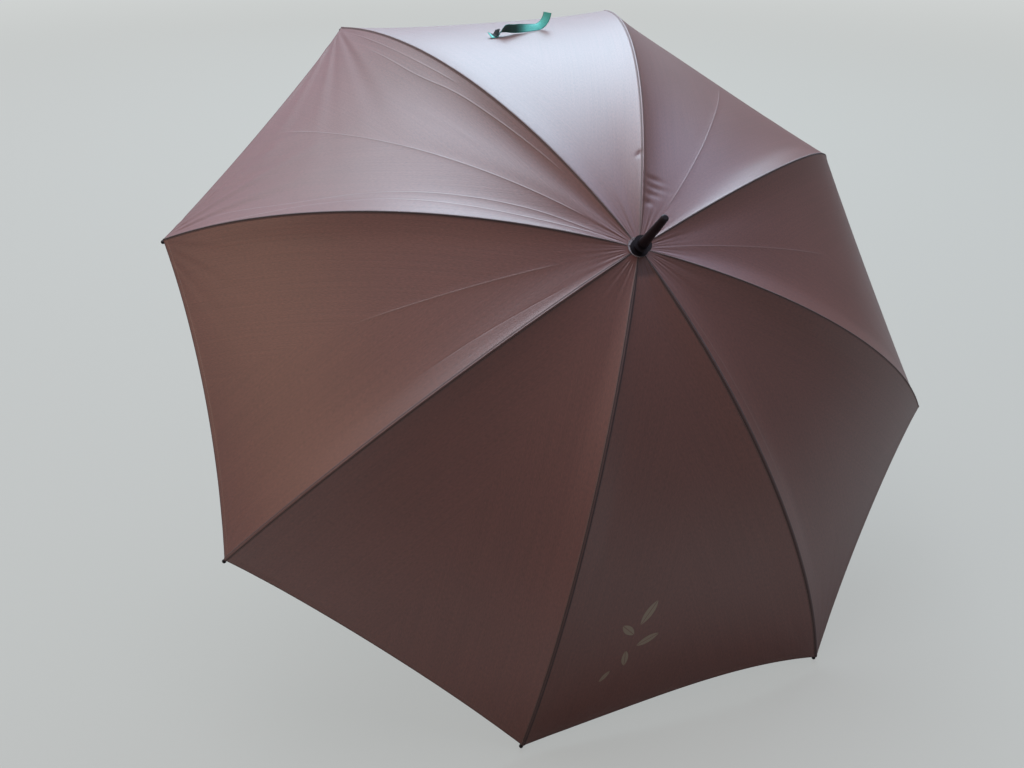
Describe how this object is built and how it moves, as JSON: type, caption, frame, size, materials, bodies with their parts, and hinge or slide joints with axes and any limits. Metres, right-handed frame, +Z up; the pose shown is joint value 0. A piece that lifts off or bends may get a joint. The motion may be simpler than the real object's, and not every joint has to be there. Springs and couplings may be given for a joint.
{
  "type": "umbrella",
  "caption": "Open stick umbrella with a stretched cloth canopy on sprung ribs, stretchers worked by a sliding runner, a tapered ferrule and a crook handle.",
  "frame": {"origin": "centre of the open umbrella's bounding box, on the floor that two rib tips and the crook handle stand on", "axes": "+X along the line through the two rib tips that stand on the floor, -Y towards the ferrule, +Z up"},
  "size_m": [1.0162, 0.7804, 0.7433],
  "materials": {
    "canopy_cloth": "tightly woven taupe-brown polyester with a satin gloss",
    "black_plastic": "black moulded plastic, half gloss",
    "rib_steel": "drawn spring steel",
    "shaft_steel": "plated steel tube",
    "wire_steel": "bright steel wire and rivets",
    "strap_cloth": "teal woven ribbon",
    "strap_patch_cloth": "dark hook tape"
  },
  "bodies": {
    "shaft": {"shaft_tube": "shaft_steel", "ferrule": "black_plastic", "canopy_cap": "black_plastic", "crown_notch": "black_plastic", "crown_wire": "wire_steel", "stop_pin": "wire_steel", "handle_collar": "shaft_steel", "handle": "black_plastic"},
    "runner": {"runner": "black_plastic"},
    "upper_catch": {"upper_catch": "wire_steel"},
    "lower_catch": {"lower_catch": "wire_steel"},
    "rib_1": {"rib_1": "rib_steel", "rib_rivet_1": "wire_steel", "rib_tip_1": "black_plastic", "canopy_panel_1": "canopy_cloth"},
    "rib_2": {"rib_2": "rib_steel", "rib_rivet_2": "wire_steel", "rib_tip_2": "black_plastic", "canopy_panel_2": "canopy_cloth"},
    "rib_3": {"rib_3": "rib_steel", "rib_rivet_3": "wire_steel", "rib_tip_3": "black_plastic", "canopy_panel_3": "canopy_cloth", "strap": "strap_cloth", "strap_patch": "strap_patch_cloth"},
    "rib_4": {"rib_4": "rib_steel", "rib_rivet_4": "wire_steel", "rib_tip_4": "black_plastic", "canopy_panel_4": "canopy_cloth"},
    "rib_5": {"rib_5": "rib_steel", "rib_rivet_5": "wire_steel", "rib_tip_5": "black_plastic", "canopy_panel_5": "canopy_cloth"},
    "rib_6": {"rib_6": "rib_steel", "rib_rivet_6": "wire_steel", "rib_tip_6": "black_plastic", "canopy_panel_6": "canopy_cloth"},
    "rib_7": {"rib_7": "rib_steel", "rib_rivet_7": "wire_steel", "rib_tip_7": "black_plastic", "canopy_panel_7": "canopy_cloth"},
    "rib_8": {"rib_8": "rib_steel", "rib_rivet_8": "wire_steel", "rib_tip_8": "black_plastic", "canopy_panel_8": "canopy_cloth"},
    "stretcher_1": {"stretcher_1": "rib_steel"},
    "stretcher_2": {"stretcher_2": "rib_steel"},
    "stretcher_3": {"stretcher_3": "rib_steel"},
    "stretcher_4": {"stretcher_4": "rib_steel"},
    "stretcher_5": {"stretcher_5": "rib_steel"},
    "stretcher_6": {"stretcher_6": "rib_steel"},
    "stretcher_7": {"stretcher_7": "rib_steel"},
    "stretcher_8": {"stretcher_8": "rib_steel"}
  },
  "joints": [
    {"name": "runner_slide", "type": "slide", "parent": "shaft", "child": "runner", "axis": [0, 0.7051, -0.7091], "range_m": [0, 0.41235]},
    {"name": "rib_1_hinge", "type": "hinge", "parent": "shaft", "child": "rib_1", "pos_m": [-0.01109, -0.20447, 0.55068], "axis": [-0.3827, -0.6551, -0.6514], "range_deg": [0, 62.73], "deforming": ["canopy_panel_1"]},
    {"name": "rib_2_hinge", "type": "hinge", "parent": "shaft", "child": "rib_2", "pos_m": [-0.00459, -0.19986, 0.55526], "axis": [-0.9239, -0.2714, -0.2698], "range_deg": [0, 62.73], "deforming": ["canopy_panel_2"]},
    {"name": "rib_3_hinge", "type": "hinge", "parent": "shaft", "child": "rib_3", "pos_m": [0.00459, -0.19986, 0.55526], "axis": [-0.9239, 0.2714, 0.2698], "range_deg": [0, 62.73], "deforming": ["canopy_panel_3", "strap", "strap_patch"]},
    {"name": "rib_4_hinge", "type": "hinge", "parent": "shaft", "child": "rib_4", "pos_m": [0.01109, -0.20447, 0.55068], "axis": [-0.3827, 0.6551, 0.6514], "range_deg": [0, 62.73], "deforming": ["canopy_panel_4"]},
    {"name": "rib_5_hinge", "type": "hinge", "parent": "shaft", "child": "rib_5", "pos_m": [0.01109, -0.21098, 0.5442], "axis": [0.3827, 0.6551, 0.6514], "range_deg": [0, 62.73], "deforming": ["canopy_panel_5"]},
    {"name": "rib_6_hinge", "type": "hinge", "parent": "shaft", "child": "rib_6", "pos_m": [0.00459, -0.21559, 0.53962], "axis": [0.9239, 0.2714, 0.2698], "range_deg": [0, 62.73], "deforming": ["canopy_panel_6"]},
    {"name": "rib_7_hinge", "type": "hinge", "parent": "shaft", "child": "rib_7", "pos_m": [-0.00459, -0.21559, 0.53962], "axis": [0.9239, -0.2714, -0.2698], "range_deg": [0, 62.73], "deforming": ["canopy_panel_7"]},
    {"name": "rib_8_hinge", "type": "hinge", "parent": "shaft", "child": "rib_8", "pos_m": [-0.01109, -0.21098, 0.5442], "axis": [0.3827, -0.6551, -0.6514], "range_deg": [0, 62.73], "deforming": ["canopy_panel_8"]},
    {"name": "stretcher_1_hinge", "type": "hinge", "parent": "rib_1", "child": "stretcher_1", "pos_m": [-0.25907, -0.08945, 0.58068], "axis": [-0.3827, -0.6551, -0.6514], "range_deg": [-125.46, 0]},
    {"name": "stretcher_2_hinge", "type": "hinge", "parent": "rib_2", "child": "stretcher_2", "pos_m": [-0.10731, 0.01816, 0.68769], "axis": [-0.9239, -0.2714, -0.2698], "range_deg": [-125.46, 0]},
    {"name": "stretcher_3_hinge", "type": "hinge", "parent": "rib_3", "child": "stretcher_3", "pos_m": [0.10731, 0.01816, 0.68769], "axis": [-0.9239, 0.2714, 0.2698], "range_deg": [-125.46, 0]},
    {"name": "stretcher_4_hinge", "type": "hinge", "parent": "rib_4", "child": "stretcher_4", "pos_m": [0.25907, -0.08945, 0.58068], "axis": [-0.3827, 0.6551, 0.6514], "range_deg": [-125.46, 0]},
    {"name": "stretcher_5_hinge", "type": "hinge", "parent": "rib_5", "child": "stretcher_5", "pos_m": [0.25907, -0.24165, 0.42936], "axis": [0.3827, 0.6551, 0.6514], "range_deg": [-125.46, 0]},
    {"name": "stretcher_6_hinge", "type": "hinge", "parent": "rib_6", "child": "stretcher_6", "pos_m": [0.10731, -0.34926, 0.32236], "axis": [0.9239, 0.2714, 0.2698], "range_deg": [-125.46, 0]},
    {"name": "stretcher_7_hinge", "type": "hinge", "parent": "rib_7", "child": "stretcher_7", "pos_m": [-0.10731, -0.34926, 0.32236], "axis": [0.9239, -0.2714, -0.2698], "range_deg": [-125.46, 0]},
    {"name": "stretcher_8_hinge", "type": "hinge", "parent": "rib_8", "child": "stretcher_8", "pos_m": [-0.25907, -0.24165, 0.42936], "axis": [0.3827, -0.6551, -0.6514], "range_deg": [-125.46, 0]},
    {"name": "upper_catch_press", "type": "hinge", "parent": "shaft", "child": "upper_catch", "pos_m": [0, -0.07134, 0.41027], "axis": [1, 0, 0], "range_deg": [0, 4.3], "stiffness_Nm_per_rad": 0.06},
    {"name": "lower_catch_press", "type": "hinge", "parent": "shaft", "child": "lower_catch", "pos_m": [0, 0.16912, 0.16843], "axis": [-1, 0, 0], "range_deg": [0, 4.3], "stiffness_Nm_per_rad": 0.06}
  ],
  "couplings": [
    {"joint": "rib_1_hinge", "follows": "runner_slide", "rad_per_m": 2.6551},
    {"joint": "rib_2_hinge", "follows": "runner_slide", "rad_per_m": 2.6551},
    {"joint": "rib_3_hinge", "follows": "runner_slide", "rad_per_m": 2.6551},
    {"joint": "rib_4_hinge", "follows": "runner_slide", "rad_per_m": 2.6551},
    {"joint": "rib_5_hinge", "follows": "runner_slide", "rad_per_m": 2.6551},
    {"joint": "rib_6_hinge", "follows": "runner_slide", "rad_per_m": 2.6551},
    {"joint": "rib_7_hinge", "follows": "runner_slide", "rad_per_m": 2.6551},
    {"joint": "rib_8_hinge", "follows": "runner_slide", "rad_per_m": 2.6551},
    {"joint": "stretcher_1_hinge", "follows": "runner_slide", "rad_per_m": -5.3103},
    {"joint": "stretcher_2_hinge", "follows": "runner_slide", "rad_per_m": -5.3103},
    {"joint": "stretcher_3_hinge", "follows": "runner_slide", "rad_per_m": -5.3103},
    {"joint": "stretcher_4_hinge", "follows": "runner_slide", "rad_per_m": -5.3103},
    {"joint": "stretcher_5_hinge", "follows": "runner_slide", "rad_per_m": -5.3103},
    {"joint": "stretcher_6_hinge", "follows": "runner_slide", "rad_per_m": -5.3103},
    {"joint": "stretcher_7_hinge", "follows": "runner_slide", "rad_per_m": -5.3103},
    {"joint": "stretcher_8_hinge", "follows": "runner_slide", "rad_per_m": -5.3103}
  ]
}
